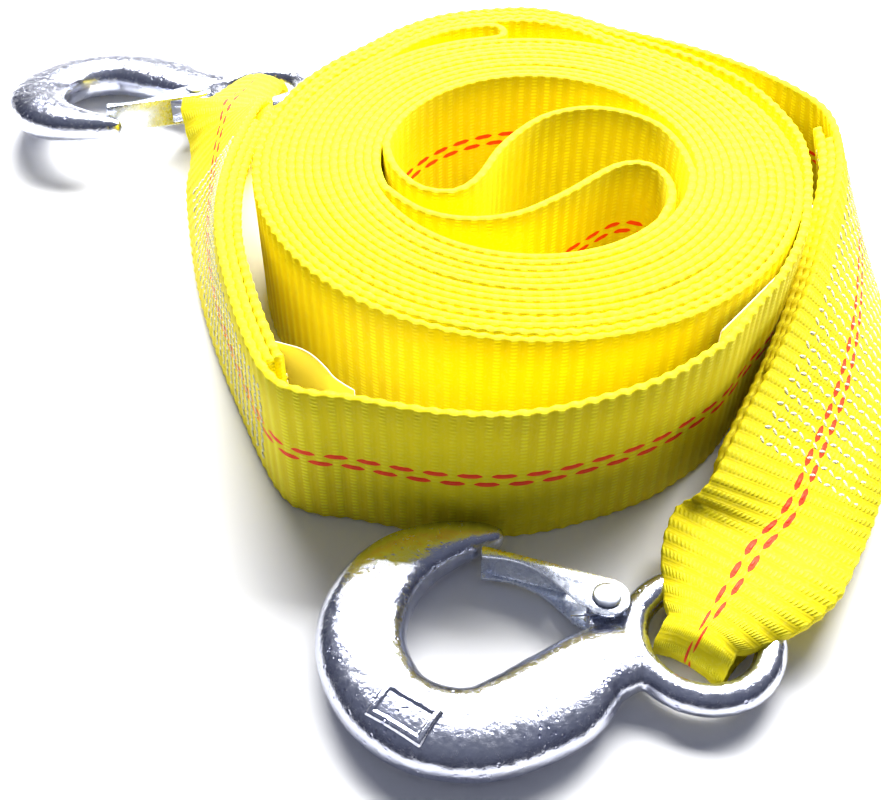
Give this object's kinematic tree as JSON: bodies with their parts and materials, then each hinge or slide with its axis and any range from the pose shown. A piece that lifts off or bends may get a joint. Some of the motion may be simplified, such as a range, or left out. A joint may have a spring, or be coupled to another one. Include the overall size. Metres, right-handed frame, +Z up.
{
  "type": "tow strap",
  "caption": "Webbing tow strap wound on edge round an S-shaped middle, with a forged eye slip hook and sprung latch in the sewn loop at each end.",
  "frame": {"origin": "centre of the outline's box, on the floor that the strap stands on", "axes": "+X to the right along the longer side, +Y away from the front hook towards the rear hook, +Z up from the floor across the webbing's width"},
  "size_m": [0.3296, 0.334, 0.0509],
  "materials": {
    "webbing": "woven",
    "label": "smooth woven",
    "zinc": "zinc plated forging, lightly pitted",
    "pressed_zinc": "zinc plated sheet, smooth",
    "rivet_zinc": "zinc plated, satin",
    "spring_wire": "bright wire"
  },
  "bodies": {
    "webbing": {"strap": "webbing", "front_doubling_strip": "webbing", "rear_doubling_strip": "webbing", "front_label": "label", "rear_label": "label"},
    "front_hook_body": {"front_hook": "zinc", "front_rivet": "rivet_zinc", "front_latch_spring": "spring_wire"},
    "rear_hook_body": {"rear_hook": "zinc", "rear_rivet": "rivet_zinc", "rear_latch_spring": "spring_wire"},
    "front_latch_body": {"front_latch": "pressed_zinc"},
    "rear_latch_body": {"rear_latch": "pressed_zinc"}
  },
  "joints": [
    {"name": "front_hook_swivel", "type": "hinge", "parent": "webbing", "child": "front_hook_body", "pos_m": [0.0794, -0.1281, 0.0075], "axis": [0, 0, 1], "range_deg": [0, 35]},
    {"name": "rear_hook_swivel", "type": "hinge", "parent": "webbing", "child": "rear_hook_body", "pos_m": [-0.0637, 0.1314, 0.0132], "axis": [0.01, -0.1905, -0.9816], "range_deg": [0, 25]},
    {"name": "front_latch_hinge", "type": "hinge", "parent": "front_hook_body", "child": "front_latch_body", "pos_m": [0.055, -0.1183, 0.0075], "axis": [0, 0, 1], "range_deg": [0, 35], "stiffness_Nm_per_rad": 0.02, "springref_deg": -28.65},
    {"name": "rear_latch_hinge", "type": "hinge", "parent": "rear_hook_body", "child": "rear_latch_body", "pos_m": [-0.08756, 0.12052, 0.01507], "axis": [0.01, -0.1905, -0.9816], "range_deg": [0, 35], "stiffness_Nm_per_rad": 0.02, "springref_deg": -28.65}
  ]
}
